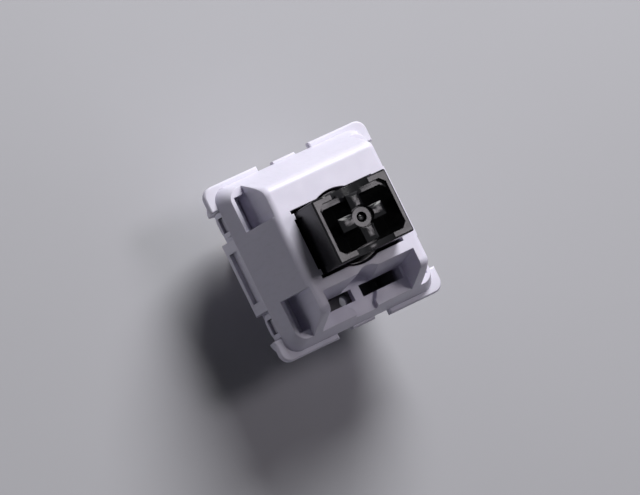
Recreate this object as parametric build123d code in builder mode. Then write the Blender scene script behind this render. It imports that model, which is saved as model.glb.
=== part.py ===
from build123d import *
import os

# Mechanical keyboard switch. Z runs up along the stem. The origin is on the
# stem's axis, in the plane of the circuit board that the switch stands on.
# The lamp recess faces -Y and the contacts are on the +Y side. Millimetres.

# Heights above the circuit board
plate_top = 5.0
flange_thickness = 1.0
housing_height = 11.6
stem_rise = 3.9
pin_length = 3.3
travel = 4.0

# Mounting plate and circuit board
plate_cutout = 14.0
plate_thickness = 1.5
cutout_clearance = 0.025
post_radius = 2.0
post_tip_chamfer = 0.4

# Flange round the top of the lower housing
flange_overlap = 0.8
flange_corner_radius = 0.9
flange_corner_length = 2.05
flange_edge_chamfer = 0.12
flange_undercut = 0.35
notch_start = 1.05
notch_end = 2.5
tab_reach = 7.58

# Lower housing
floor_thickness = 1.2
belly_height = 2.7
belly_draft = 1.04
body_corner_radius = 1.2
side_wall = 1.47
front_wall = 1.1
back_wall = 3.6
wing_bay_width = 4.6
bay_play = 0.4
leg_relief_wall = 0.7
side_panel_width = 4.5
side_panel_depth = 0.35
side_panel_low = 3.3
side_panel_high = 5.1
spring_core_radius = 1.65
spring_core_height = 1.8
pole_bore_floor = 0.7
clip_slot_width = 0.4
clip_slot_floor = 1.8
clip_reach = 0.32
clip_height = 1.3
clip_plate_gap = 0.05
guide_post_thickness = 0.6
guide_post_width = 0.8
guide_post_top = 8.0
guide_rail_root = 0.3

# Upper housing
base_width = 14.3
contact_bay_margin = 1.27
roof_width = 10.5
roof_length = 10.9
base_corner_radius = 1.2
roof_corner_radius = 0.7
roof_edge_radius = 0.75
roof_thickness = 1.2
shell_wall = 1.0
corner_step_height = 7.76
corner_step_x = 5.2
corner_step_y = 3.12
corner_ledge_side = 0.34
corner_ledge_end = 0.7
bay_wall = 0.7
skirt_depth = 0.8
skirt_gap = 0.1
leg_width = 2.15
leg_thickness = 0.65
leg_gap = 0.1
leg_play = 0.3
leg_bottom = 3.85
leg_corner_radius = 0.8
leg_window_width = 1.3
leg_window_low = 4.4
leg_window_high = 5.5
catch_reach = 0.42
catch_clearance = 0.06

# Stem opening in the roof
opening_width = 7.78
opening_length = 6.0
opening_circle_radius = 3.3
guide_rib_reach = 0.2
guide_rib_width = 0.5
guide_rib_spacing = 4.9

# Lamp recess
lamp_offset = 5.08
lamp_radius = 1.55
lamp_seat_depth = 0.5
lamp_hollow_height = 0.6
lamp_floor_thickness = 0.7
lamp_recess_width = 8.7
lamp_recess_wall = 0.87
lamp_recess_draft = 0.68
lamp_channel_width = 2.05
lead_slot_width = 1.0
lead_slot_length = 3.7
lead_web = 0.8
lead_chute_width = 9.0
lead_chute_length = 1.2
lead_hole_radius = 0.5
lead_spacing = 2.54

# Stem
dust_wall_width = 7.0
dust_wall_length = 5.5
dust_wall_drop = 0.1
dust_wall_side = 0.38
dust_wall_end = 0.52
dust_wall_outer_radius = 0.15
dust_wall_edge_chamfer = 0.12
dust_wall_corner = 0.45
scoop_width = 3.5
scoop_step = 0.12
scoop_depth = 0.7
key_ledge_width = 0.45
key_ledge_drop = 0.5
key_cross_length = 4.1
key_arm_width = 1.15
key_arm_chamfer = 0.3
key_hub_radius = 0.82
key_hub_groove = 0.14
key_hub_drop = 0.4
key_hub_bore_radius = 0.42
key_hub_bore_depth = 2.0
key_gate_radius = 0.24
key_gate_drop = 0.2
key_pocket_depth = 3.85
stem_web = 1.0
stem_body_width = 8.6
stem_collar_clearance = 0.2
stem_collar_drop = 0.35
stem_collar_bottom = 6.4
stem_stop_gap = 0.06
stem_floor_gap = 0.4
wing_width = 1.8
wing_reach = 0.6
wing_top = 9.3
wing_clearance = 0.07
pole_radius = 1.04
pole_clearance = 0.06
pole_tip_gap = 0.1
pole_tip_chamfer = 0.3
spring_bore_radius = 2.32
core_hole_width = 1.0
core_hole_length = 3.7
core_hole_spacing = 6.5
core_hole_roof = 1.0
cam_leg_spacing = 3.5
cam_leg_width = 1.0
cam_leg_reach = 0.9
cam_leg_slim = 0.3
cam_leg_bottom = 6.0
cam_leg_top = 9.3
cam_straight_top = 6.7

# Return spring
spring_radius = 1.95
spring_wire_radius = 0.13
spring_turns = 6
spring_seat_gap = 0.02

# Contacts and terminals
sheet = 0.3
bend_radius = 0.3
pin_width = 1.0
pin_slot_clearance = 0.05
pin_tip_chamfer = 0.25
fixed_pin_x = -3.81
fixed_pin_y = 2.54
moving_pin_x = 2.54
moving_pin_y = 5.08
contact_height = 6.3
contact_length = 0.9
contact_radius = 0.22
contact_gap = 0.36
fixed_tongue_width = 1.4
fixed_tongue_margin = 0.7
fixed_arm_low = 2.0
fixed_arm_high = 3.2
leaf_sheet = 0.12
leaf_foot = 2.3
leaf_width = 4.2
leaf_shoulder = 6.4
leaf_window_width = 1.4
leaf_window_low = 2.9
leaf_window_high = 5.3
leaf_tongue_width = 1.2
leaf_tongue_top = 7.1
leaf_foot_gap = 0.04
prong_width = 0.7
prong_top = 7.3
prong_nose = 0.6
prong_bend_radius = 0.25
prong_clearance = 0.06
moving_plate_width = 3.6

# Sizes and places that follow from the ones above
flange_top = plate_top + flange_thickness
plate_underside = plate_top - plate_thickness
body_width = plate_cutout - 2 * cutout_clearance
body_half = body_width / 2
flange_width = plate_cutout + 2 * flange_overlap
flange_half = flange_width / 2
flange_corner_start = flange_half - flange_corner_length
cavity_side = body_half - side_wall
bay_side = stem_body_width / 2 + bay_play
cavity_front = body_half - front_wall
cavity_back = body_half - back_wall
ceiling = housing_height - roof_thickness
stem_top = housing_height + stem_rise
pole_bore_radius = pole_radius + pole_clearance
pole_bore_bottom = pole_bore_floor - pin_length
base_length = 2 * (moving_pin_y + contact_bay_margin + shell_wall)
shell_rise = housing_height - flange_top
lamp_seat_height = flange_top + lamp_hollow_height + lamp_floor_thickness
lamp_floor_height = lamp_seat_height + lamp_seat_depth
side_slope = (base_width - roof_width) / 2 / shell_rise
end_slope = (base_length - roof_length) / 2 / shell_rise
step_rise = corner_step_height - flange_top
corner_pocket_x = base_width / 2 - side_slope * step_rise - corner_ledge_side
corner_pocket_y = base_length / 2 - end_slope * step_rise - corner_ledge_end
leg_outer = body_half
leg_inner = leg_outer - leg_thickness
leg_middle = flange_corner_start - leg_gap - leg_width / 2
leg_recess_floor = leg_inner - leg_gap / 2
leg_recess_length = leg_width + leg_gap + leg_play
leg_recess_middle = flange_corner_start - leg_recess_length / 2
leg_relief_floor = bay_side + leg_relief_wall
skirt_side = corner_step_x + skirt_gap
guide_post_inner = stem_body_width / 2 + wing_clearance * 2
guide_rail_outer = cavity_side + guide_rail_root
guide_post_spacing = wing_width + 2 * wing_clearance + guide_post_thickness
dust_wall_top = stem_top - dust_wall_drop
key_pocket_floor = stem_top - key_pocket_depth
stem_web_bottom = key_pocket_floor - stem_web
stem_shoulder = ceiling - stem_stop_gap
stem_bottom = floor_thickness + travel + stem_floor_gap
pole_tip = pole_bore_bottom + travel + pole_tip_gap
cam_leg_face = dust_wall_length / 2 + cam_leg_reach
stem_collar_radius = opening_circle_radius - stem_collar_clearance
leaf_front = moving_pin_y - leaf_sheet / 2
fixed_plate_y = leaf_front - 2 * contact_radius - contact_gap - sheet / 2
fixed_tongue_top = contact_height + fixed_tongue_margin
strip_height = floor_thickness + sheet / 2
prong_nose_y = cam_leg_face + prong_clearance + leaf_sheet / 2
sides = (-1, 1)

os.makedirs("parts", exist_ok=True)

with BuildPart() as bottom_housing:
    # The belly leans outwards up to the straight walls.
    with BuildSketch():
        RectangleRounded(body_width - 2 * belly_draft, body_width - 2 * belly_draft, body_corner_radius)
    with BuildSketch(Plane.XY.offset(belly_height)):
        RectangleRounded(body_width, body_width, body_corner_radius)
    loft(ruled=True)
    with BuildSketch(Plane.XY.offset(belly_height)):
        RectangleRounded(body_width, body_width, body_corner_radius)
    extrude(amount=flange_top - belly_height)

    # The flange is whole at the four corners. Between them it is cut back for
    # the upper housing's legs, and notched beside each plate clip.
    with BuildSketch(Plane.XY.offset(plate_top)):
        RectangleRounded(flange_width, flange_width, flange_corner_radius)
        with Locations((-flange_half, 0), (flange_half, 0)):
            Rectangle(2 * (flange_half - body_half), 2 * flange_corner_start, mode=Mode.SUBTRACT)
        with Locations((0, -flange_half), (0, flange_half)):
            Rectangle(2 * notch_end, 2 * (flange_half - body_half), mode=Mode.SUBTRACT)
        Rectangle(2 * notch_start, 2 * tab_reach)
    extrude(amount=flange_thickness)
    rim_start = body_half + flange_undercut
    for height, size in ((flange_top, flange_edge_chamfer), (plate_top, flange_undercut)):
        rim = bottom_housing.edges().filter_by_position(Axis.Z, height, height)
        outer_rim = rim.filter_by(lambda edge: max(abs(edge.center().X), abs(edge.center().Y)) > rim_start)
        chamfer(outer_rim, size)

    # Recesses for the legs, deeper below them, each with the catch that the
    # leg's window snaps over
    for floor, height in ((leg_recess_floor, flange_top), (leg_relief_floor, leg_bottom - leg_gap)):
        with BuildSketch():
            with GridLocations(2 * (floor + flange_half), 2 * leg_recess_middle, 2, 2):
                Rectangle(2 * flange_half, leg_recess_length)
        extrude(amount=height, mode=Mode.SUBTRACT)
    for side in sides:
        for end in sides:
            with BuildSketch(Plane.XZ.offset(-end * leg_middle)):
                with BuildLine():
                    Polyline(
                        (side * (leg_recess_floor - leg_gap), leg_window_low + catch_clearance),
                        (side * (leg_inner + catch_reach), leg_window_low + catch_clearance),
                        (side * leg_recess_floor, leg_window_high - catch_clearance),
                        (side * (leg_recess_floor - leg_gap), leg_window_high - catch_clearance),
                        close=True,
                    )
                make_face()
            extrude(amount=leg_window_width / 2 - catch_clearance, both=True)

    # Shallow panel between the legs on each side
    with Locations((-body_half, 0, side_panel_low), (body_half, 0, side_panel_low)):
        Box(
            2 * side_panel_depth,
            side_panel_width,
            side_panel_high - side_panel_low,
            align=(Align.CENTER, Align.CENTER, Align.MIN),
            mode=Mode.SUBTRACT,
        )

    # Cavity for the stem and the contacts, wider for the wings, and at its
    # mouth for the upper housing's skirt
    with BuildSketch(Plane.XY.offset(floor_thickness)):
        with Locations((0, (cavity_front - cavity_back) / 2)):
            Rectangle(2 * bay_side, cavity_front + cavity_back)
        Rectangle(2 * cavity_side, wing_bay_width)
    extrude(amount=flange_top - floor_thickness, mode=Mode.SUBTRACT)
    with BuildSketch(Plane.XY.offset(flange_top)):
        with Locations((0, cavity_front / 2)):
            Rectangle(2 * skirt_side, cavity_front)
    extrude(amount=-skirt_depth - skirt_gap, mode=Mode.SUBTRACT)

    # Each plate clip is a tongue between two slots, with a wedge on its face
    # that snaps under the plate.
    for end in sides:
        with Locations((0, end * body_half, clip_slot_floor)):
            with GridLocations(2 * notch_start + clip_slot_width, 0, 2, 1):
                Box(
                    clip_slot_width,
                    2 * (body_half - lamp_offset),
                    flange_top - clip_slot_floor,
                    align=(Align.CENTER, Align.CENTER, Align.MIN),
                    mode=Mode.SUBTRACT,
                )
        with BuildSketch(Plane.YZ):
            with BuildLine():
                Polyline(
                    (end * (body_half - front_wall / 2), plate_underside - clip_plate_gap),
                    (end * (body_half + clip_reach), plate_underside - clip_plate_gap),
                    (end * body_half, plate_underside - clip_height),
                    (end * (body_half - front_wall / 2), plate_underside - clip_height),
                    close=True,
                )
            make_face()
        extrude(amount=notch_start, both=True)

    # Posts and rails that guide the wings of the stem
    with Locations(Plane.XY.offset(floor_thickness)):
        with GridLocations(2 * guide_post_inner + guide_post_width, guide_post_spacing, 2, 2):
            Box(
                guide_post_width,
                guide_post_thickness,
                guide_post_top - floor_thickness,
                align=(Align.CENTER, Align.CENTER, Align.MIN),
            )
        with GridLocations(guide_post_inner + guide_rail_outer, guide_post_spacing, 2, 2):
            Box(
                guide_rail_outer - guide_post_inner,
                guide_post_thickness,
                flange_top - floor_thickness,
                align=(Align.CENTER, Align.CENTER, Align.MIN),
            )

    # Centre post that locates the switch in the board
    with BuildSketch():
        Circle(post_radius)
    extrude(amount=-pin_length)
    chamfer(bottom_housing.edges().group_by(Axis.Z)[0], post_tip_chamfer)

    # Core that centres the spring, bored for the stem's pole
    with BuildSketch(Plane.XY.offset(floor_thickness)):
        Circle(spring_core_radius)
    extrude(amount=spring_core_height)
    with BuildSketch(Plane.XY.offset(pole_bore_bottom)):
        Circle(pole_bore_radius)
    extrude(amount=floor_thickness + spring_core_height - pole_bore_bottom, mode=Mode.SUBTRACT)

    # Chute for the lamp's leads, which pass its floor through two holes
    with BuildSketch(Plane.XY.offset(floor_thickness)):
        with Locations((0, -lamp_offset)):
            Rectangle(lead_chute_width, lead_chute_length)
    extrude(amount=flange_top, mode=Mode.SUBTRACT)
    with BuildSketch():
        with Locations((0, -lamp_offset)):
            with GridLocations(lead_spacing, 0, 2, 1):
                Circle(lead_hole_radius)
    extrude(amount=flange_top, mode=Mode.SUBTRACT)

    # Slots for the two terminals
    with BuildSketch():
        with Locations((moving_pin_x, moving_pin_y)):
            Rectangle(pin_width + 2 * pin_slot_clearance, sheet + 2 * pin_slot_clearance)
        with Locations((fixed_pin_x, fixed_pin_y + bend_radius / 2)):
            Rectangle(pin_width + 2 * pin_slot_clearance, sheet + bend_radius + 2 * pin_slot_clearance)
    extrude(amount=flange_top, mode=Mode.SUBTRACT)

bottom_housing.part.label = "bottom_housing"
export_step(bottom_housing.part, "parts/bottom_housing.step")


with BuildPart() as shell_core:
    # Space inside the upper housing: a bay along Y for the stem and the
    # contacts, and a crossing bay along X for the stem's wings.
    with BuildSketch(Plane.XY.offset(flange_top)):
        Rectangle(base_width - 2 * shell_wall, base_length - 2 * shell_wall)
    with BuildSketch(Plane.XY.offset(ceiling)):
        shrink = ceiling - flange_top
        Rectangle(
            base_width - 2 * shell_wall - 2 * side_slope * shrink,
            base_length - 2 * shell_wall - 2 * end_slope * shrink,
        )
    loft(ruled=True)
    with BuildSketch(Plane.XY.offset(flange_top)):
        with Locations((0, (base_length - opening_length) / 4)):
            Rectangle(2 * (corner_step_x - bay_wall), (base_length + opening_length) / 2)
        Rectangle(base_width, 2 * (corner_step_y - bay_wall))
        Circle(opening_circle_radius)
    extrude(amount=ceiling - flange_top, mode=Mode.INTERSECT)


with BuildPart() as top_housing:
    # Outer form: a pyramid stump with soft corners and a rounded roof edge
    with BuildSketch(Plane.XY.offset(flange_top)):
        RectangleRounded(base_width, base_length, base_corner_radius)
    with BuildSketch(Plane.XY.offset(housing_height)):
        RectangleRounded(roof_width, roof_length, roof_corner_radius)
    loft(ruled=True)
    fillet(top_housing.faces().sort_by(Axis.Z)[-1].edges(), roof_edge_radius)

    # Each corner steps down to a ledge, with a pocket that opens over a leg.
    for side in sides:
        for end in sides:
            with BuildSketch(Plane.XY.offset(corner_step_height)):
                with Locations((side * corner_step_x, end * corner_step_y)):
                    with Locations((side * base_width / 2, end * base_length / 2)):
                        Rectangle(base_width, base_length)
            extrude(amount=housing_height, mode=Mode.SUBTRACT)
            with BuildSketch(Plane.XY.offset(flange_top)):
                pocket_middle_x = (corner_step_x + corner_pocket_x) / 2
                pocket_middle_y = (corner_step_y + corner_pocket_y) / 2
                with Locations((side * pocket_middle_x, end * pocket_middle_y)):
                    Rectangle(corner_pocket_x - corner_step_x, corner_pocket_y - corner_step_y)
            extrude(amount=housing_height, mode=Mode.SUBTRACT)

    add(shell_core.part, mode=Mode.SUBTRACT)

    # Opening for the stem, with four small ribs that guide its box
    with BuildSketch(Plane.XY.offset(ceiling)):
        Rectangle(opening_width, opening_length)
        with GridLocations(opening_width - guide_rib_reach, guide_rib_spacing, 2, 2):
            Rectangle(guide_rib_reach, guide_rib_width, mode=Mode.SUBTRACT)
        Circle(opening_circle_radius)
    extrude(amount=roof_thickness, mode=Mode.SUBTRACT)

    # Lamp recess, open to the end of the housing
    recess_back = -opening_length / 2 - lamp_recess_wall
    with BuildSketch(Plane.YZ):
        with BuildLine():
            Polyline(
                (recess_back, housing_height),
                (recess_back - lamp_recess_draft, lamp_floor_height),
                (-base_length, lamp_floor_height),
                (-base_length, housing_height),
                close=True,
            )
        make_face()
    extrude(amount=lamp_recess_width / 2, both=True, mode=Mode.SUBTRACT)
    with BuildSketch(Plane.XY.offset(lamp_seat_height)):
        with Locations((0, -lamp_offset)):
            Circle(lamp_radius)
        with Locations((0, -lamp_offset - base_length / 2)):
            Rectangle(lamp_channel_width, base_length)
    extrude(amount=housing_height, mode=Mode.SUBTRACT)
    with BuildSketch(Plane.XY.offset(flange_top)):
        with Locations((0, -lamp_offset)):
            with GridLocations(lead_web + lead_slot_length, 0, 2, 1):
                Rectangle(lead_slot_length, lead_slot_width)
    extrude(amount=housing_height, mode=Mode.SUBTRACT)

    # Hollow under the lamp floor
    hollow_back = -recess_back
    hollow_front = base_length / 2 - shell_wall
    with BuildSketch(Plane.XY.offset(flange_top)):
        with Locations((0, -(hollow_back + hollow_front) / 2)):
            Rectangle(lead_chute_width, hollow_front - hollow_back)
    extrude(amount=lamp_hollow_height, mode=Mode.SUBTRACT)

    # Skirt at each end of the contact bay, which reaches into the lower housing
    skirt_start = corner_step_y + skirt_gap
    skirt_end = cavity_front - skirt_gap
    with BuildSketch(Plane.XY.offset(flange_top)):
        with Locations((0, (skirt_start + skirt_end) / 2)):
            with GridLocations(2 * corner_step_x - bay_wall, 0, 2, 1):
                Rectangle(bay_wall, skirt_end - skirt_start)
    extrude(amount=-skirt_depth)

    # Legs with windows that snap over the catches of the lower housing
    for side in sides:
        for end in sides:
            with BuildSketch(Plane.YZ.offset(side * leg_inner)) as leg:
                with Locations((end * leg_middle, (flange_top + leg_bottom) / 2)):
                    Rectangle(leg_width, flange_top - leg_bottom)
                fillet(leg.vertices().group_by(Axis.Z)[0], leg_corner_radius)
                with Locations((end * leg_middle, (leg_window_low + leg_window_high) / 2)):
                    Rectangle(leg_window_width, leg_window_high - leg_window_low, mode=Mode.SUBTRACT)
            extrude(amount=side * leg_thickness)

top_housing.part.label = "top_housing"
export_step(top_housing.part, "parts/top_housing.step")


with BuildPart() as stem:
    # Slider body inside the housing, with a wing on each side
    with BuildSketch(Plane.XY.offset(stem_bottom)):
        RectangleRounded(stem_body_width, dust_wall_length, dust_wall_outer_radius)
    extrude(amount=stem_shoulder - stem_bottom)
    with BuildSketch(Plane.XY.offset(stem_bottom)):
        Rectangle(stem_body_width + 2 * wing_reach, wing_width)
    extrude(amount=wing_top - stem_bottom)
    chamfer(
        stem.edges().filter_by(Axis.Y).group_by(Axis.X)[0]
        + stem.edges().filter_by(Axis.Y).group_by(Axis.X)[-1],
        wing_reach / 2,
    )

    # Round collar that follows the curved ends of the opening
    with BuildSketch(Plane.XY.offset(stem_collar_bottom)):
        Circle(stem_collar_radius)
    extrude(amount=housing_height - stem_collar_drop - stem_collar_bottom)

    # Dust walls round the key cross
    with BuildSketch(Plane.XY.offset(stem_shoulder)):
        RectangleRounded(dust_wall_width, dust_wall_length, dust_wall_outer_radius)
    extrude(amount=dust_wall_top - stem_shoulder)
    chamfer(stem.edges().group_by(Axis.Z)[-1], dust_wall_edge_chamfer)
    pocket_width = dust_wall_width - 2 * dust_wall_side
    pocket_length = dust_wall_length - 2 * dust_wall_end
    with BuildSketch(Plane.XY.offset(dust_wall_top)) as pocket_mouth:
        Rectangle(pocket_width, pocket_length)
        chamfer(pocket_mouth.vertices(), dust_wall_corner)
    extrude(amount=-key_ledge_drop, mode=Mode.SUBTRACT)
    with BuildSketch(Plane.XY.offset(key_pocket_floor)) as pocket:
        with Locations((0, -key_ledge_width / 2)):
            Rectangle(pocket_width, pocket_length - key_ledge_width)
        chamfer(pocket.vertices(), dust_wall_corner)
    extrude(amount=stem_top - key_pocket_floor, mode=Mode.SUBTRACT)
    with BuildSketch(Plane.XZ):
        with BuildLine():
            Polyline(
                (-scoop_width / 2, dust_wall_top - scoop_step),
                (-scoop_width / 2, stem_top),
                (scoop_width / 2, stem_top),
                (scoop_width / 2, dust_wall_top - scoop_step),
            )
            ThreePointArc(
                (scoop_width / 2, dust_wall_top - scoop_step),
                (0, dust_wall_top - scoop_depth),
                (-scoop_width / 2, dust_wall_top - scoop_step),
            )
        make_face()
    extrude(amount=dust_wall_length, both=True, mode=Mode.SUBTRACT)

    # Key cross, with a lower hub where its arms meet. A ring is sunk in the
    # hub round the stub that the mould's gate leaves.
    with BuildSketch(Plane.XY.offset(key_pocket_floor)):
        Rectangle(key_cross_length, key_arm_width)
        Rectangle(key_arm_width, key_cross_length)
    extrude(amount=key_pocket_depth)
    chamfer(stem.edges().group_by(Axis.Z)[-1], key_arm_chamfer)
    with BuildSketch(Plane.XY.offset(stem_top)):
        Circle(key_hub_radius + key_hub_groove)
    extrude(amount=-key_hub_drop - key_hub_groove, mode=Mode.SUBTRACT)
    with BuildSketch(Plane.XY.offset(key_pocket_floor)):
        Circle(key_hub_radius)
    extrude(amount=key_pocket_depth - key_hub_drop)
    with BuildSketch(Plane.XY.offset(stem_top - key_hub_drop)):
        Circle(key_hub_bore_radius)
        Circle(key_gate_radius, mode=Mode.SUBTRACT)
    extrude(amount=-key_hub_bore_depth, mode=Mode.SUBTRACT)
    with BuildSketch(Plane.XY.offset(stem_top - key_hub_drop)):
        Circle(key_gate_radius)
    extrude(amount=-key_gate_drop, mode=Mode.SUBTRACT)

    # Spring bore from below, with the guide pole down its middle
    with BuildSketch(Plane.XY.offset(stem_bottom)):
        Circle(spring_bore_radius)
    extrude(amount=stem_web_bottom - stem_bottom, mode=Mode.SUBTRACT)
    with BuildSketch(Plane.XY.offset(stem_web_bottom)):
        Circle(pole_radius)
    extrude(amount=pole_tip - stem_web_bottom)
    chamfer(stem.edges().group_by(Axis.Z)[0], pole_tip_chamfer)
    with BuildSketch(Plane.XY.offset(stem_bottom)):
        with GridLocations(core_hole_spacing, 0, 2, 1):
            RectangleRounded(core_hole_width, core_hole_length, core_hole_width / 4)
    extrude(amount=stem_shoulder - core_hole_roof - stem_bottom, mode=Mode.SUBTRACT)

    # Cam legs that hold the contact leaf back until the key is pressed
    for side in sides:
        with BuildSketch(Plane.YZ.offset(side * cam_leg_spacing / 2)):
            with BuildLine():
                Polyline(
                    (dust_wall_length / 2 - dust_wall_outer_radius, cam_leg_bottom),
                    (cam_leg_face - cam_leg_slim / 2, cam_leg_bottom),
                    (cam_leg_face, cam_leg_bottom + cam_leg_slim / 2),
                    (cam_leg_face, cam_straight_top),
                    (dust_wall_length / 2 + cam_leg_slim, cam_leg_top),
                    (dust_wall_length / 2 - dust_wall_outer_radius, cam_leg_top),
                    close=True,
                )
            make_face()
        extrude(amount=cam_leg_width / 2, both=True)

stem.part.label = "stem"
export_step(stem.part, "parts/stem.step")


with BuildPart() as return_spring:
    spring_bottom = floor_thickness + spring_seat_gap + spring_wire_radius
    spring_height = stem_web_bottom - spring_seat_gap - spring_wire_radius - spring_bottom
    with BuildLine(Plane.XY.offset(spring_bottom)) as coil:
        Helix(pitch=spring_height / spring_turns, height=spring_height, radius=spring_radius)
    with BuildSketch(Plane(origin=coil.line @ 0, z_dir=coil.line % 0)):
        RegularPolygon(spring_wire_radius, 6)
    sweep(path=coil.line, is_frenet=True)

return_spring.part.label = "return_spring"
export_step(return_spring.part, "parts/return_spring.step")


with BuildPart() as fixed_terminal:
    # One strip: pin down through the floor, foot along it, then a riser
    with BuildSketch(Plane.YZ.offset(fixed_pin_x)):
        with BuildLine():
            FilletPolyline(
                (fixed_pin_y, -pin_length),
                (fixed_pin_y, strip_height),
                (fixed_plate_y, strip_height),
                (fixed_plate_y, fixed_arm_high),
                radius=bend_radius,
            )
        trace(line_width=sheet)
    extrude(amount=pin_width / 2, both=True)
    with BuildSketch(Plane.XZ.offset(-fixed_plate_y)):
        arm_start = fixed_pin_x - pin_width / 2
        arm_end = fixed_tongue_width / 2
        with Locations(((arm_start + arm_end) / 2, (fixed_arm_low + fixed_arm_high) / 2)):
            Rectangle(arm_end - arm_start, fixed_arm_high - fixed_arm_low)
        with Locations((0, (fixed_arm_low + fixed_tongue_top) / 2)):
            Rectangle(fixed_tongue_width, fixed_tongue_top - fixed_arm_low)
    extrude(amount=sheet / 2, both=True)
    chamfer(fixed_terminal.edges().group_by(Axis.Z)[0].filter_by(Axis.Y), pin_tip_chamfer)

fixed_terminal.part.label = "fixed_terminal"
export_step(fixed_terminal.part, "parts/fixed_terminal.step")


with BuildPart() as fixed_contact_point:
    # Half-round bar across the tongue, facing the leaf
    with BuildSketch(Plane.YZ):
        with Locations((fixed_plate_y + sheet / 2, contact_height)):
            Circle(contact_radius)
            with Locations((-contact_radius, 0)):
                Rectangle(2 * contact_radius, 2 * contact_radius, mode=Mode.SUBTRACT)
    extrude(amount=contact_length / 2, both=True)

fixed_contact_point.part.label = "fixed_contact_point"
export_step(fixed_contact_point.part, "parts/fixed_contact_point.step")


with BuildPart() as moving_terminal:
    with BuildSketch(Plane.XZ.offset(-moving_pin_y)):
        with Locations((moving_pin_x, (leaf_foot - leaf_foot_gap - pin_length) / 2)):
            Rectangle(pin_width, leaf_foot - leaf_foot_gap + pin_length)
        plate_end = moving_pin_x + pin_width / 2
        with Locations(
            ((plate_end - moving_plate_width / 2) / 2, (floor_thickness + leaf_foot - leaf_foot_gap) / 2)
        ):
            Rectangle(plate_end + moving_plate_width / 2, leaf_foot - leaf_foot_gap - floor_thickness)
    extrude(amount=sheet / 2, both=True)
    chamfer(moving_terminal.edges().group_by(Axis.Z)[0].filter_by(Axis.Y), pin_tip_chamfer)

moving_terminal.part.label = "moving_terminal"
export_step(moving_terminal.part, "parts/moving_terminal.step")


with BuildPart() as contact_leaf:
    # Thin sheet with a window, a tongue for the contact and two side arms
    with BuildSketch(Plane.XZ.offset(-moving_pin_y)):
        with Locations((0, (leaf_foot + leaf_shoulder) / 2)):
            Rectangle(leaf_width, leaf_shoulder - leaf_foot)
        with Locations((0, (leaf_shoulder + leaf_tongue_top) / 2)):
            Rectangle(leaf_tongue_width, leaf_tongue_top - leaf_shoulder)
        with Locations((0, (leaf_window_low + leaf_window_high) / 2)):
            Rectangle(leaf_window_width, leaf_window_high - leaf_window_low, mode=Mode.SUBTRACT)
    extrude(amount=leaf_sheet / 2, both=True)

    # The arms bend towards the stem and end in noses that ride on its cams.
    for side in sides:
        with BuildSketch(Plane.YZ.offset(side * cam_leg_spacing / 2)):
            with BuildLine():
                FilletPolyline(
                    (moving_pin_y, leaf_shoulder - prong_nose),
                    (moving_pin_y, prong_top),
                    (prong_nose_y, prong_top),
                    (prong_nose_y, prong_top - prong_nose),
                    radius=prong_bend_radius,
                )
            trace(line_width=leaf_sheet)
        extrude(amount=prong_width / 2, both=True)

contact_leaf.part.label = "contact_leaf"
export_step(contact_leaf.part, "parts/contact_leaf.step")


with BuildPart() as moving_contact_point:
    # Half-round bar up the leaf, at right angles to the fixed one
    with BuildSketch(Plane.XY.offset(contact_height)):
        with Locations((0, leaf_front)):
            Circle(contact_radius)
            with Locations((0, contact_radius)):
                Rectangle(2 * contact_radius, 2 * contact_radius, mode=Mode.SUBTRACT)
    extrude(amount=contact_length / 2, both=True)

moving_contact_point.part.label = "moving_contact_point"
export_step(moving_contact_point.part, "parts/moving_contact_point.step")
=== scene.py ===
import bmesh
import bpy
from math import cos, pi, radians, sin
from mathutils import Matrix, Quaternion, Vector


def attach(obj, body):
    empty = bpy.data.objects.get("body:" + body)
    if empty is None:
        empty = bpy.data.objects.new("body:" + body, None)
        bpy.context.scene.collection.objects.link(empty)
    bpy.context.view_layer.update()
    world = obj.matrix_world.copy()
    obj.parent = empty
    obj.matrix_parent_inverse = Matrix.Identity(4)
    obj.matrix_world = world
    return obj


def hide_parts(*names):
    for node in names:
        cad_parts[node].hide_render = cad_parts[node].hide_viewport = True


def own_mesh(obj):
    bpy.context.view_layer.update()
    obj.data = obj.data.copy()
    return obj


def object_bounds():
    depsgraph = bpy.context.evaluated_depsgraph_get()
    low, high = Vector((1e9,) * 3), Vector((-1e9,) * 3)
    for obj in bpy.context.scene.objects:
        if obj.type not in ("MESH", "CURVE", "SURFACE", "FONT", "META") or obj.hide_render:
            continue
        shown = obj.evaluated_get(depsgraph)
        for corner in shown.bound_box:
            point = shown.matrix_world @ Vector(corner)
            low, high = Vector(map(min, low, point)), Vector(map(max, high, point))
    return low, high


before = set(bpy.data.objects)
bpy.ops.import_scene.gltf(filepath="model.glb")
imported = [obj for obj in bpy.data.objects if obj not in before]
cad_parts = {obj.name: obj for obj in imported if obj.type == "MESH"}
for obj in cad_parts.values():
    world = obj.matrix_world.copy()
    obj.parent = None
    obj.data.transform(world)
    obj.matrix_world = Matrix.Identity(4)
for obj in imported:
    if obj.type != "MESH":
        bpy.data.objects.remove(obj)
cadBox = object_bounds()
print("stage: frame loaded")


# the camera looks down from the switch's left, through a long lens, and is rolled
cameraSetup = {
    "place": (-0.13427, -0.01400, 0.32803),
    "target": (-0.00144, -0.00050, 0.00800),
    "roll": 58.59,  # degrees
    "lens": 241.17,  # millimetres, like the sensor
    "sensorWidth": 36.0,
    "clipStart": 0.01,
}


def addCamera(setup):
    data = bpy.data.cameras.new("camera")
    data.lens = setup["lens"]
    data.sensor_width = setup["sensorWidth"]
    data.clip_start = setup["clipStart"]
    camera = bpy.data.objects.new("camera", data)
    bpy.context.scene.collection.objects.link(camera)
    place = Vector(setup["place"])
    aim = (Vector(setup["target"]) - place).to_track_quat("-Z", "Y")
    camera.rotation_mode = "QUATERNION"
    camera.rotation_quaternion = aim @ Quaternion((0, 0, 1), radians(setup["roll"]))
    camera.location = place
    bpy.context.scene.camera = camera


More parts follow.
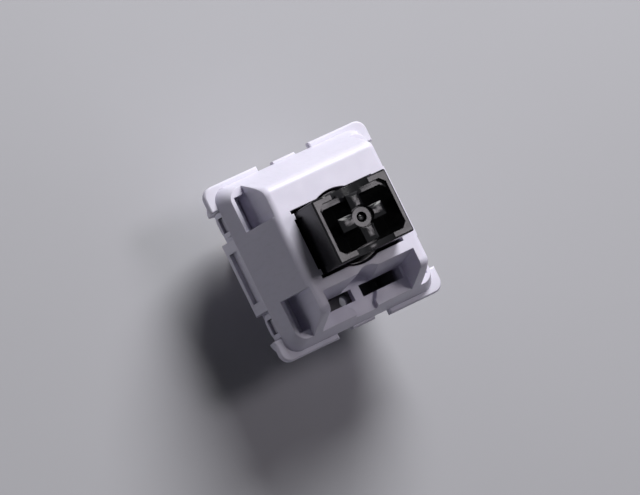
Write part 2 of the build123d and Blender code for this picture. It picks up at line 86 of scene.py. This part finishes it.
addCamera(cameraSetup)
bpy.context.scene.view_settings.view_transform = "Standard"
print("stage: camera placed")


# small helpers for node trees; a node's place is where it stands in the node editor
rising = (0.0, 1.0)
falling = (1.0, 0.0)


def newNode(tree, kind, place, **settings):
    node = tree.nodes.new(kind)
    node.location = place
    for name, value in settings.items():
        setattr(node, name, value)
    return node


def feed(tree, given, socket):
    # a plain value is written into the socket, and anything else is linked to it
    if isinstance(given, (int, float, tuple)):
        socket.default_value = given
    else:
        tree.links.new(given, socket)


def startGroup(name, inputs, outputs):
    group = bpy.data.node_groups.new(name, "ShaderNodeTree")
    for label, kind, value in inputs:
        socket = group.interface.new_socket(name=label, in_out="INPUT", socket_type=kind)
        socket.default_value = value
    for label, kind in outputs:
        group.interface.new_socket(name=label, in_out="OUTPUT", socket_type=kind)
    start = newNode(group, "NodeGroupInput", (-1100, 0))
    end = newNode(group, "NodeGroupOutput", (500, 0))
    return group, start, end


def objectPoint(tree, place):
    return newNode(tree, "ShaderNodeTexCoord", place).outputs["Object"]


def surfaceNormal(tree, place):
    return newNode(tree, "ShaderNodeNewGeometry", place).outputs["Normal"]


def uprightPart(tree, vector, place):
    split = newNode(tree, "ShaderNodeSeparateXYZ", place)
    tree.links.new(vector, split.inputs["Vector"])
    return split.outputs["Z"]


def stretched(tree, vector, factors, place):
    node = newNode(tree, "ShaderNodeVectorMath", place, operation="MULTIPLY")
    feed(tree, vector, node.inputs[0])
    feed(tree, factors, node.inputs[1])
    return node.outputs["Vector"]


def noiseOn(tree, vector, scale, place, detail, rough=0.55):
    noise = newNode(tree, "ShaderNodeTexNoise", place)
    noise.inputs["Detail"].default_value = detail
    noise.inputs["Roughness"].default_value = rough
    feed(tree, vector, noise.inputs["Vector"])
    feed(tree, scale, noise.inputs["Scale"])
    return noise.outputs["Fac"]


def spread(tree, value, taken, made, place):
    # carries a value from the range taken to the range made
    node = newNode(tree, "ShaderNodeMapRange", place)
    feed(tree, value, node.inputs["Value"])
    feed(tree, taken[0], node.inputs["From Min"])
    feed(tree, taken[1], node.inputs["From Max"])
    feed(tree, made[0], node.inputs["To Min"])
    feed(tree, made[1], node.inputs["To Max"])
    return node.outputs["Result"]


def reckon(tree, operation, first, second, place):
    node = newNode(tree, "ShaderNodeMath", place, operation=operation)
    feed(tree, first, node.inputs[0])
    feed(tree, second, node.inputs[1])
    return node.outputs["Value"]


def mixColour(tree, mask, first, second, place):
    node = newNode(tree, "ShaderNodeMix", place, data_type="RGBA")
    feed(tree, mask, node.inputs["Factor"])
    for label, given in (("A", first), ("B", second)):
        matching = [each for each in node.inputs if each.name == label and each.type == "RGBA"]
        feed(tree, given, matching[0])
    return [each for each in node.outputs if each.type == "RGBA"][0]


# moulded plastic: cloudy tone from the melt, a fine spark-eroded grain, patches of more and less gloss
mouldGrainSetup = {
    "cloudDetail": 4.0,
    "cloudRange": (0.35, 0.68),
    "grainDetail": 2.0,
    "grainShare": 0.35,
    "patchScale": 620.0,
    "patchDetail": 5.0,
    "patchRough": 0.65,
    "glossRange": (0.45, 0.9),
}


def mouldGrainGroup(setup):
    group, start, end = startGroup(
        "mouldGrain",
        [
            ("Tone", "NodeSocketColor", (0.8, 0.8, 0.8, 1)),
            ("Cloud Tone", "NodeSocketColor", (0.7, 0.7, 0.7, 1)),
            ("Cloud Scale", "NodeSocketFloat", 180.0),
            ("Grain Scale", "NodeSocketFloat", 9000.0),
            ("Smooth", "NodeSocketFloat", 0.3),
            ("Dull", "NodeSocketFloat", 0.5),
        ],
        [("Color", "NodeSocketColor"), ("Roughness", "NodeSocketFloat"), ("Height", "NodeSocketFloat")],
    )
    given = start.outputs
    point = objectPoint(group, (-1100, -300))
    cloud = noiseOn(group, point, given["Cloud Scale"], (-850, 200), setup["cloudDetail"])
    cloudMask = spread(group, cloud, setup["cloudRange"], rising, (-600, 200))
    colour = mixColour(group, cloudMask, given["Tone"], given["Cloud Tone"], (-350, 200))
    grain = noiseOn(group, point, given["Grain Scale"], (-850, -150), setup["grainDetail"])
    patch = noiseOn(
        group, point, setup["patchScale"], (-850, -400), setup["patchDetail"], setup["patchRough"]
    )
    lightGrain = reckon(group, "MULTIPLY", grain, setup["grainShare"], (-600, -150))
    both = reckon(group, "ADD", lightGrain, patch, (-420, -300))
    gloss = spread(group, both, setup["glossRange"], (given["Smooth"], given["Dull"]), (-200, -250))
    group.links.new(colour, end.inputs["Color"])
    group.links.new(gloss, end.inputs["Roughness"])
    group.links.new(grain, end.inputs["Height"])
    return group


# faint upright streaks that the steel leaves on walls as the part is pushed out of its mould
drawMarksSetup = {
    "stretch": (1.0, 1.0, 0.035),
    "streakDetail": 3.0,
    "streakRange": (0.5, 0.72),
    "wallRange": (0.55, 0.8),  # the normal's upright part, from wall to slope
}


def drawMarksGroup(setup):
    group, start, end = startGroup(
        "drawMarks",
        [("Streak Scale", "NodeSocketFloat", 3200.0), ("Strength", "NodeSocketFloat", 1.0)],
        [("Mask", "NodeSocketFloat"), ("Height", "NodeSocketFloat")],
    )
    point = stretched(group, objectPoint(group, (-1100, -300)), setup["stretch"], (-900, -300))
    streak = noiseOn(group, point, start.outputs["Streak Scale"], (-700, -200), setup["streakDetail"])
    facing = uprightPart(group, surfaceNormal(group, (-1100, 200)), (-900, 100))
    upOrDown = reckon(group, "ABSOLUTE", facing, 0.0, (-700, 100))
    wall = spread(group, upOrDown, setup["wallRange"], falling, (-500, 100))
    line = spread(group, streak, setup["streakRange"], rising, (-500, -200))
    onWall = reckon(group, "MULTIPLY", wall, line, (-300, 0))
    mask = reckon(group, "MULTIPLY", onWall, start.outputs["Strength"], (-100, 0))
    height = reckon(group, "MULTIPLY", streak, wall, (-100, -200))
    group.links.new(mask, end.inputs["Mask"])
    group.links.new(height, end.inputs["Height"])
    return group


# rounds the last hundredths of a millimetre of every edge, and finds those edges
softEdgeSetup = {
    "samples": 6,
    "turnRange": (0.995, 0.86),  # how far the rounded normal still agrees with the flat one
    "breakScale": 1900.0,
    "breakDetail": 4.0,
    "breakRange": (0.38, 0.6),
    "breakStrength": (0.25, 1.0),
}


def softEdgeGroup(setup):
    group, start, end = startGroup(
        "softEdge",
        [("Radius", "NodeSocketFloat", 0.00006), ("Wear And Sheen", "NodeSocketFloat", 1.0)],
        [("Normal", "NodeSocketVector"), ("Mask", "NodeSocketFloat")],
    )
    rounded = newNode(group, "ShaderNodeBevel", (-800, 100), samples=setup["samples"])
    group.links.new(start.outputs["Radius"], rounded.inputs["Radius"])
    agreement = newNode(group, "ShaderNodeVectorMath", (-550, 0), operation="DOT_PRODUCT")
    group.links.new(rounded.outputs["Normal"], agreement.inputs[0])
    group.links.new(surfaceNormal(group, (-800, -150)), agreement.inputs[1])
    edge = spread(group, agreement.outputs["Value"], setup["turnRange"], rising, (-350, 0))
    point = objectPoint(group, (-800, -400))
    breakUp = noiseOn(group, point, setup["breakScale"], (-600, -400), setup["breakDetail"])
    uneven = spread(group, breakUp, setup["breakRange"], setup["breakStrength"], (-350, -350))
    ragged = reckon(group, "MULTIPLY", edge, uneven, (-120, -100))
    mask = reckon(group, "MULTIPLY", ragged, start.outputs["Wear And Sheen"], (80, -100))
    group.links.new(rounded.outputs["Normal"], end.inputs["Normal"])
    group.links.new(mask, end.inputs["Mask"])
    return group


# specks and a thin film of dust on what faces up
settledDustSetup = {
    "upwardRange": (0.6, 0.95),
    "speckRange": (0.1, 0.24),
    "patchScale": 700.0,
    "patchDetail": 3.0,
    "patchRange": (0.55, 0.7),
    "filmScale": 330.0,
    "filmDetail": 5.0,
    "filmRange": (0.4, 0.75),
    "filmStrength": (0.0, 0.35),
}


def settledDustGroup(setup):
    group, start, end = startGroup(
        "settledDust",
        [("Speck Scale", "NodeSocketFloat", 5200.0), ("Amount", "NodeSocketFloat", 0.5)],
        [("Mask", "NodeSocketFloat")],
    )
    point = objectPoint(group, (-1100, -300))
    facing = uprightPart(group, surfaceNormal(group, (-1100, 200)), (-900, 150))
    upward = spread(group, facing, setup["upwardRange"], rising, (-650, 150))
    specks = newNode(group, "ShaderNodeTexVoronoi", (-850, -200), feature="F1")
    group.links.new(point, specks.inputs["Vector"])
    group.links.new(start.outputs["Speck Scale"], specks.inputs["Scale"])
    dots = spread(group, specks.outputs["Distance"], setup["speckRange"], falling, (-600, -150))
    patch = noiseOn(group, point, setup["patchScale"], (-850, -500), setup["patchDetail"])
    patchMask = spread(group, patch, setup["patchRange"], rising, (-600, -450))
    haze = noiseOn(group, point, setup["filmScale"], (-850, -750), setup["filmDetail"])
    film = spread(group, haze, setup["filmRange"], setup["filmStrength"], (-600, -700))
    gathered = reckon(group, "MULTIPLY", dots, patchMask, (-400, -250))
    fallen = reckon(group, "MAXIMUM", gathered, film, (-250, -350))
    lying = reckon(group, "MULTIPLY", fallen, upward, (-80, -100))
    mask = reckon(group, "MULTIPLY", lying, start.outputs["Amount"], (120, -100))
    group.links.new(mask, end.inputs["Mask"])
    return group


# strip or wire: long fine lines along one direction, cloudy tarnish, and duller bands
rolledMetalSetup = {
    "lineDetail": 3.0,
    "lineShare": 0.5,
    "stainScale": 900.0,
    "stainDetail": 5.0,
    "stainRough": 0.65,
    "stainRange": (0.48, 0.75),
    "glossRange": (0.55, 1.0),
}


def rolledMetalGroup(setup):
    group, start, end = startGroup(
        "rolledMetal",
        [
            ("Tone", "NodeSocketColor", (0.8, 0.7, 0.5, 1)),
            ("Tarnish", "NodeSocketColor", (0.5, 0.4, 0.3, 1)),
            ("Along", "NodeSocketVector", (1.0, 1.0, 0.03)),
            ("Line Scale", "NodeSocketFloat", 9000.0),
            ("Smooth", "NodeSocketFloat", 0.15),
            ("Dull", "NodeSocketFloat", 0.4),
        ],
        [("Color", "NodeSocketColor"), ("Roughness", "NodeSocketFloat"), ("Height", "NodeSocketFloat")],
    )
    given = start.outputs
    point = objectPoint(group, (-1100, -300))
    drawn = stretched(group, point, given["Along"], (-900, -200))
    lines = noiseOn(group, drawn, given["Line Scale"], (-700, -150), setup["lineDetail"])
    cloud = noiseOn(
        group, point, setup["stainScale"], (-700, -450), setup["stainDetail"], setup["stainRough"]
    )
    stain = spread(group, cloud, setup["stainRange"], rising, (-450, 150))
    colour = mixColour(group, stain, given["Tone"], given["Tarnish"], (-200, 200))
    lightLines = reckon(group, "MULTIPLY", lines, setup["lineShare"], (-450, -150))
    both = reckon(group, "ADD", lightLines, cloud, (-280, -250))
    gloss = spread(group, both, setup["glossRange"], (given["Smooth"], given["Dull"]), (-80, -200))
    group.links.new(colour, end.inputs["Color"])
    group.links.new(gloss, end.inputs["Roughness"])
    group.links.new(lines, end.inputs["Height"])
    return group


# finds points below a given height that lie deep in a slot or under the roof, where little light falls;
# the materials paint shade there
recessShadeSetup = {
    "samples": 8,
    "openRange": (0.05, 0.55),
    "fade": 0.0008,  # metres below the ceiling over which the shade comes in
}


def recessShadeGroup(setup):
    group, start, end = startGroup(
        "recessShade",
        [
            ("Reach", "NodeSocketFloat", 0.003),
            ("Ceiling", "NodeSocketFloat", 0.006),
            ("Amount", "NodeSocketFloat", 1.0),
        ],
        [("Mask", "NodeSocketFloat")],
    )
    ceiling = start.outputs["Ceiling"]
    openness = newNode(group, "ShaderNodeAmbientOcclusion", (-800, 100), samples=setup["samples"])
    group.links.new(start.outputs["Reach"], openness.inputs["Distance"])
    deep = spread(group, openness.outputs["AO"], setup["openRange"], falling, (-500, 100))
    height = uprightPart(group, objectPoint(group, (-1100, -200)), (-900, -200))
    fadeEnd = reckon(group, "SUBTRACT", ceiling, setup["fade"], (-700, -350))
    low = spread(group, height, (ceiling, fadeEnd), rising, (-500, -200))
    both = reckon(group, "MULTIPLY", deep, low, (-250, 0))
    mask = reckon(group, "MULTIPLY", both, start.outputs["Amount"], (-50, 0))
    group.links.new(mask, end.inputs["Mask"])
    return group


effects = {
    "mouldGrain": mouldGrainGroup(mouldGrainSetup),
    "drawMarks": drawMarksGroup(drawMarksSetup),
    "softEdge": softEdgeGroup(softEdgeSetup),
    "settledDust": settledDustGroup(settledDustSetup),
    "recessShade": recessShadeGroup(recessShadeSetup),
    "rolledMetal": rolledMetalGroup(rolledMetalSetup),
}
print("stage: shared effects built")


def placeEffect(tree, name, place, values):
    node = newNode(tree, "ShaderNodeGroup", place, node_tree=effects[name])
    for label, value in values.items():
        node.inputs[label].default_value = value
    return node.outputs


def startMaterial(name, uniform):
    material = bpy.data.materials.new(name)
    material.use_nodes = True
    tree = material.node_tree
    shader = tree.nodes["Principled BSDF"]
    shader.location = (500, 0)
    tree.nodes["Material Output"].location = (800, 0)
    for label, value in uniform.items():
        shader.inputs[label].default_value = value
    return material, tree, shader


def addRelief(tree, shader, height, normal, look):
    bump = newNode(tree, "ShaderNodeBump", (250, -300))
    bump.inputs["Strength"].default_value = look["bump"]
    bump.inputs["Distance"].default_value = look["relief"]
    tree.links.new(height, bump.inputs["Height"])
    tree.links.new(normal, bump.inputs["Normal"])
    tree.links.new(bump.outputs["Normal"], shader.inputs["Normal"])


def plasticMaterial(name, look):
    material, tree, shader = startMaterial(name, look["uniform"])
    grain = placeEffect(tree, "mouldGrain", (-700, 200), look["grain"])
    marks = placeEffect(tree, "drawMarks", (-700, -150), look["marks"])
    edges = placeEffect(tree, "softEdge", (-700, -350), look["edges"])
    dust = placeEffect(tree, "settledDust", (-700, -550), look["dust"])
    recess = placeEffect(tree, "recessShade", (-700, -750), look["recess"])
    streaked = mixColour(tree, marks["Mask"], grain["Color"], look["streakTone"], (-400, 250))
    # lighter along every edge: partly wear, partly painted sheen in place of edge highlights
    wornAndSheened = mixColour(tree, edges["Mask"], streaked, look["edgeWearAndSheen"], (-200, 250))
    dusty = mixColour(tree, dust["Mask"], wornAndSheened, look["dustTone"], (0, 250))
    # painted shade: the colour darkens in deep slots and pockets, where little light reaches
    shaded = mixColour(tree, recess["Mask"], dusty, look["paintedRecessShade"], (200, 250))
    tree.links.new(shaded, shader.inputs["Base Color"])
    polished = reckon(tree, "MULTIPLY", edges["Mask"], look["edgePolish"], (-400, -50))
    smoother = reckon(tree, "SUBTRACT", grain["Roughness"], polished, (-200, -50))
    powdered = reckon(tree, "MULTIPLY", dust["Mask"], look["dustDulling"], (-200, -250))
    roughness = reckon(tree, "ADD", smoother, powdered, (0, -50))
    tree.links.new(roughness, shader.inputs["Roughness"])
    relief = reckon(tree, "ADD", grain["Height"], marks["Height"], (0, -250))
    addRelief(tree, shader, relief, edges["Normal"], look)
    return material


def metalMaterial(name, look):
    material, tree, shader = startMaterial(name, look["uniform"])
    rolled = placeEffect(tree, "rolledMetal", (-600, 200), look["rolled"])
    edges = placeEffect(tree, "softEdge", (-600, -250), look["edges"])
    # lighter along every edge: partly wear, partly painted sheen in place of edge highlights
    wornAndSheened = mixColour(tree, edges["Mask"], rolled["Color"], look["edgeWearAndSheen"], (-200, 250))
    tree.links.new(wornAndSheened, shader.inputs["Base Color"])
    tree.links.new(rolled["Roughness"], shader.inputs["Roughness"])
    addRelief(tree, shader, rolled["Height"], edges["Normal"], look)
    return material


# how every CAD mesh is finished, lengths in metres and angles in degrees
meshFinish = {
    "weldReach": 0.0000002,
    "roundSegments": 2,
    "sharpFrom": 40,
    "flatWithin": 0.4,
    "faceWeight": 85,
}


def dress(node, material, rounding, finish=meshFinish):
    # the CAD mesh stays as it is: modifiers join its corners, round its sharp edges,
    # merge the facets of its flat faces and smooth the shading
    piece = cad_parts[node]
    for index in range(len(piece.material_slots)):
        piece.material_slots[index].material = material
    weld = piece.modifiers.new("weld", "WELD")
    weld.merge_threshold = finish["weldReach"]
    if rounding:
        bevel = piece.modifiers.new("roundEdges", "BEVEL")
        bevel.width = rounding
        bevel.segments = finish["roundSegments"]
        bevel.limit_method = "ANGLE"
        bevel.angle_limit = radians(finish["sharpFrom"])
    flat = piece.modifiers.new("flatten", "DECIMATE")
    flat.decimate_type = "DISSOLVE"
    flat.angle_limit = radians(finish["flatWithin"])
    smooth = piece.modifiers.new("smoothShading", "WEIGHTED_NORMAL")
    smooth.mode = "FACE_AREA_WITH_ANGLE"
    smooth.weight = finish["faceWeight"]


# upper housing: milky white, satin, with a lavender cast
upperHousing = {
    "uniform": {
        "IOR": 1.53,
        "Subsurface Weight": 0.12,
        "Subsurface Scale": 0.0006,
        "Subsurface Radius": (1.0, 0.8, 0.9),
    },
    "grain": {
        "Tone": (0.79, 0.765, 0.89, 1),
        "Cloud Tone": (0.745, 0.72, 0.85, 1),
        "Cloud Scale": 210.0,
        "Grain Scale": 11000.0,
        "Smooth": 0.30,
        "Dull": 0.48,
    },
    "marks": {"Streak Scale": 3300.0, "Strength": 0.20},
    "edges": {"Radius": 0.00008, "Wear And Sheen": 0.35},
    "dust": {"Speck Scale": 5200.0, "Amount": 0.22},
    "recess": {"Reach": 0.003, "Ceiling": 0.0062, "Amount": 0.9},
    # painted shade colour for deep slots and pockets
    "paintedRecessShade": (0.050, 0.040, 0.050, 1),
    "streakTone": (0.62, 0.60, 0.68, 1),
    # edge colour: partly wear, partly painted sheen
    "edgeWearAndSheen": (0.88, 0.87, 0.93, 1),
    "dustTone": (0.52, 0.50, 0.52, 1),
    "edgePolish": 0.10,
    "dustDulling": 0.35,
    "bump": 0.35,
    "relief": 0.000012,
    "rounding": 0.00006,
}
dress("top_housing", plasticMaterial("upperPlastic", upperHousing), upperHousing["rounding"])

# lower housing: the same plastic from another mould, a little duller
lowerHousing = {
    "uniform": {
        "IOR": 1.53,
        "Subsurface Weight": 0.12,
        "Subsurface Scale": 0.0006,
        "Subsurface Radius": (1.0, 0.8, 0.9),
    },
    "grain": {
        "Tone": (0.79, 0.77, 0.88, 1),
        "Cloud Tone": (0.73, 0.71, 0.82, 1),
        "Cloud Scale": 160.0,
        "Grain Scale": 9000.0,
        "Smooth": 0.36,
        "Dull": 0.56,
    },
    "marks": {"Streak Scale": 2800.0, "Strength": 0.24},
    "edges": {"Radius": 0.00008, "Wear And Sheen": 0.35},
    "dust": {"Speck Scale": 4600.0, "Amount": 0.28},
    "recess": {"Reach": 0.003, "Ceiling": 0.0056, "Amount": 0.97},
    # painted shade colour for deep slots and pockets
    "paintedRecessShade": (0.022, 0.014, 0.016, 1),
    "streakTone": (0.60, 0.58, 0.66, 1),
    # edge colour: partly wear, partly painted sheen
    "edgeWearAndSheen": (0.87, 0.86, 0.92, 1),
    "dustTone": (0.50, 0.48, 0.50, 1),
    "edgePolish": 0.10,
    "dustDulling": 0.35,
    "bump": 0.4,
    "relief": 0.000014,
    "rounding": 0.00006,
}
dress("bottom_housing", plasticMaterial("lowerPlastic", lowerHousing), lowerHousing["rounding"])

# stem: near-black slippery plastic, shinier along its edges, and lighter there: partly wear, partly
# painted sheen
stemLook = {
    "uniform": {"IOR": 1.48, "Specular IOR Level": 0.30},
    "grain": {
        "Tone": (0.0035, 0.0035, 0.0045, 1),
        "Cloud Tone": (0.0070, 0.0065, 0.0080, 1),
        "Cloud Scale": 420.0,
        "Grain Scale": 14000.0,
        "Smooth": 0.13,
        "Dull": 0.24,
    },
    "marks": {"Streak Scale": 4200.0, "Strength": 0.35},
    "edges": {"Radius": 0.00004, "Wear And Sheen": 0.5},
    "dust": {"Speck Scale": 6200.0, "Amount": 0.10},
    "recess": {"Reach": 0.002, "Ceiling": 0.0160, "Amount": 0.8},
    # painted shade colour for deep slots and pockets
    "paintedRecessShade": (0.003, 0.003, 0.004, 1),
    "streakTone": (0.016, 0.015, 0.018, 1),
    # edge colour: partly wear, partly painted sheen
    "edgeWearAndSheen": (0.030, 0.028, 0.034, 1),
    "dustTone": (0.22, 0.21, 0.22, 1),
    "edgePolish": 0.08,
    "dustDulling": 0.35,
    "bump": 0.4,
    "relief": 0.000010,
    "rounding": 0.00003,
}
dress("stem", plasticMaterial("stemPlastic", stemLook), stemLook["rounding"])
print("stage: housings and stem dressed")

# terminals: lightly tinned brass strip, pressed so that its rolling lines run up the pins
terminalLook = {
    "uniform": {"Metallic": 1.0},
    "rolled": {
        "Tone": (0.78, 0.62, 0.34, 1),
        "Tarnish": (0.60, 0.45, 0.24, 1),
        "Along": (1.0, 1.0, 0.03),
        "Line Scale": 9000.0,
        "Smooth": 0.16,
        "Dull": 0.38,
    },
    "edges": {"Radius": 0.00004, "Wear And Sheen": 0.6},
    # edge colour: partly wear, partly painted sheen
    "edgeWearAndSheen": (0.88, 0.76, 0.52, 1),
    "bump": 0.3,
    "relief": 0.000006,
    "rounding": 0.00002,
}
terminalStrip = metalMaterial("terminalStrip", terminalLook)
dress("fixed_terminal", terminalStrip, terminalLook["rounding"])
dress("moving_terminal", terminalStrip, terminalLook["rounding"])

# leaf: thin springy bronze, brighter than the strip, with its lines across the switch
leafLook = {
    "uniform": {"Metallic": 1.0},
    "rolled": {
        "Tone": (0.80, 0.58, 0.36, 1),
        "Tarnish": (0.66, 0.44, 0.26, 1),
        "Along": (0.03, 1.0, 1.0),
        "Line Scale": 12000.0,
        "Smooth": 0.12,
        "Dull": 0.30,
    },
    "edges": {"Radius": 0.00002, "Wear And Sheen": 0.6},
    # edge colour: partly wear, partly painted sheen
    "edgeWearAndSheen": (0.90, 0.74, 0.54, 1),
    "bump": 0.25,
    "relief": 0.000004,
    "rounding": 0.0,
}
dress("contact_leaf", metalMaterial("leafBronze", leafLook), leafLook["rounding"])

# contact points: small gold bars
contactLook = {
    "uniform": {"Metallic": 1.0},
    "rolled": {
        "Tone": (0.90, 0.68, 0.30, 1),
        "Tarnish": (0.80, 0.56, 0.22, 1),
        "Along": (0.05, 1.0, 1.0),
        "Line Scale": 16000.0,
        "Smooth": 0.10,
        "Dull": 0.24,
    },
    "edges": {"Radius": 0.00002, "Wear And Sheen": 0.3},
    # edge colour: partly wear, partly painted sheen
    "edgeWearAndSheen": (0.95, 0.80, 0.48, 1),
    "bump": 0.2,
    "relief": 0.000003,
    "rounding": 0.0,
}
contactGold = metalMaterial("contactGold", contactLook)
dress("fixed_contact_point", contactGold, contactLook["rounding"])
dress("moving_contact_point", contactGold, contactLook["rounding"])
print("stage: metal parts dressed")


# return spring: round wire with a closed coil at each end
springSetup = {
    "name": "returnSpring",
    "coilRadius": 0.00195,
    "wireRadius": 0.00013,
    "foot": 0.00122,
    "top": 0.01063,
    "openTurns": 9.0,
    "closedTurns": 1.0,
    "stepsPerTurn": 40,
    "wireSides": 12,
    "keep": 0.575,
    "look": {
        "uniform": {"Metallic": 1.0},
        "rolled": {
            "Tone": (0.62, 0.61, 0.60, 1),
            "Tarnish": (0.44, 0.42, 0.40, 1),
            "Along": (0.4, 0.4, 1.0),
            "Line Scale": 12000.0,
            "Smooth": 0.14,
            "Dull": 0.34,
        },
        "edges": {"Radius": 0.00002, "Wear And Sheen": 0.2},
        # edge colour: partly wear, partly painted sheen
        "edgeWearAndSheen": (0.75, 0.74, 0.73, 1),
        "bump": 0.25,
        "relief": 0.000004,
    },
}


def springHeight(turn, setup):
    closed = setup["closedTurns"]
    thick = 2.0 * setup["wireRadius"]
    low = setup["foot"] + setup["wireRadius"]
    high = setup["top"] - setup["wireRadius"]
    if turn < closed:
        return low + thick * turn / closed
    if turn > closed + setup["openTurns"]:
        return high - thick * (2.0 * closed + setup["openTurns"] - turn) / closed
    share = (turn - closed) / setup["openTurns"]
    return low + thick + (high - low - 2.0 * thick) * share


def addSpring(setup):
    mesh = bpy.data.meshes.new(setup["name"])
    work = bmesh.new()
    turns = setup["openTurns"] + 2.0 * setup["closedTurns"]
    count = int(turns * setup["stepsPerTurn"])
    rings = []
    for step in range(count + 1):
        turn = turns * step / count
        angle = 2.0 * pi * turn
        outward = Vector((cos(angle), sin(angle), 0.0))
        centre = outward * setup["coilRadius"] + Vector((0.0, 0.0, springHeight(turn, setup)))
        ring = []
        for side in range(setup["wireSides"]):
            around = 2.0 * pi * side / setup["wireSides"]
            offset = outward * cos(around) + Vector((0.0, 0.0, sin(around)))
            ring.append(work.verts.new(centre + offset * setup["wireRadius"]))
        rings.append(ring)
    for one, two in zip(rings, rings[1:]):
        for side in range(setup["wireSides"]):
            after = (side + 1) % setup["wireSides"]
            work.faces.new((one[side], two[side], two[after], one[after]))
    work.faces.new(rings[0])
    work.faces.new(list(reversed(rings[-1])))
    bmesh.ops.recalc_face_normals(work, faces=work.faces)
    for face in work.faces:
        face.smooth = len(face.verts) == 4  # the two cut ends of the wire stay flat
    work.to_mesh(mesh)
    work.free()
    mesh.materials.append(metalMaterial("springWire", setup["look"]))
    spring = bpy.data.objects.new(setup["name"], mesh)
    bpy.context.scene.collection.objects.link(spring)
    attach(spring, "housing")
    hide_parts("return_spring")
    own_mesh(spring)


addSpring(springSetup)
print("stage: spring wound")


# studio: a pale table, a key lamp from the north-east, a panel overhead and a pale room
studio = {
    "tableColour": (0.52, 0.52, 0.55, 1),
    "tableGrainTone": (0.48, 0.48, 0.51, 1),
    "tableGrainScale": 22.0,
    "tableGrainDetail": 4.0,
    "tableFinish": {"Roughness": 0.6, "Specular IOR Level": 0.2},
    "tableSize": 1.2,
    "lampTarget": (0.0, 0.0, 0.008),
    "key": {"place": (0.165, 0.264, 0.243), "size": 0.22, "power": 1.80, "colour": (1.0, 1.0, 1.0)},
    "panel": {"place": (0.105, 0.012, 0.255), "size": 0.07, "power": 0.105, "colour": (1.0, 0.94, 1.0)},
    "roomColour": (0.64, 0.65, 0.70, 1),
    "roomStrength": 0.045,
    "backColour": (0.46, 0.47, 0.50, 1),
    "backStrength": 1.0,
}


def addTable(setup, height):
    mesh = bpy.data.meshes.new("table")
    work = bmesh.new()
    bmesh.ops.create_grid(work, x_segments=1, y_segments=1, size=setup["tableSize"])
    bmesh.ops.translate(work, vec=(0.0, 0.0, height), verts=work.verts)
    work.to_mesh(mesh)
    work.free()
    material, tree, shader = startMaterial("tableTop", setup["tableFinish"])
    point = objectPoint(tree, (-700, 0))
    cloud = noiseOn(tree, point, setup["tableGrainScale"], (-500, 0), setup["tableGrainDetail"])
    tone = mixColour(tree, cloud, setup["tableColour"], setup["tableGrainTone"], (-250, 0))
    tree.links.new(tone, shader.inputs["Base Color"])
    mesh.materials.append(material)
    table = bpy.data.objects.new("table", mesh)
    bpy.context.scene.collection.objects.link(table)


def addLamp(name, setup, target):
    data = bpy.data.lights.new(name, "AREA")
    data.shape = "DISK"
    data.size = setup["size"]
    data.energy = setup["power"]
    data.color = setup["colour"]
    lamp = bpy.data.objects.new(name, data)
    bpy.context.scene.collection.objects.link(lamp)
    lamp.location = setup["place"]
    aim = Vector(target) - lamp.location
    lamp.rotation_euler = aim.to_track_quat("-Z", "Y").to_euler()


def lightRoom(setup):
    # the room lights the switch weakly, and looks plain and pale to the camera and in reflections
    world = bpy.data.worlds.new("room")
    world.use_nodes = True
    bpy.context.scene.world = world
    tree = world.node_tree
    light = tree.nodes["Background"]
    light.inputs["Color"].default_value = setup["roomColour"]
    light.inputs["Strength"].default_value = setup["roomStrength"]
    seen = newNode(tree, "ShaderNodeBackground", (-200, -200))
    seen.inputs["Color"].default_value = setup["backColour"]
    seen.inputs["Strength"].default_value = setup["backStrength"]
    ray = newNode(tree, "ShaderNodeLightPath", (-700, 200)).outputs
    seenOrGlossy = reckon(tree, "MAXIMUM", ray["Is Camera Ray"], ray["Is Glossy Ray"], (-450, 200))
    anySight = reckon(tree, "MAXIMUM", seenOrGlossy, ray["Is Transmission Ray"], (-250, 200))
    mix = newNode(tree, "ShaderNodeMixShader", (50, 100))
    tree.links.new(anySight, mix.inputs["Fac"])
    tree.links.new(light.outputs["Background"], mix.inputs[1])
    tree.links.new(seen.outputs["Background"], mix.inputs[2])
    tree.links.new(mix.outputs["Shader"], tree.nodes["World Output"].inputs["Surface"])


addTable(studio, cadBox[0][2])
addLamp("keyLamp", studio["key"], studio["lampTarget"])
addLamp("overheadPanel", studio["panel"], studio["lampTarget"])
lightRoom(studio)
print("stage: studio lit")
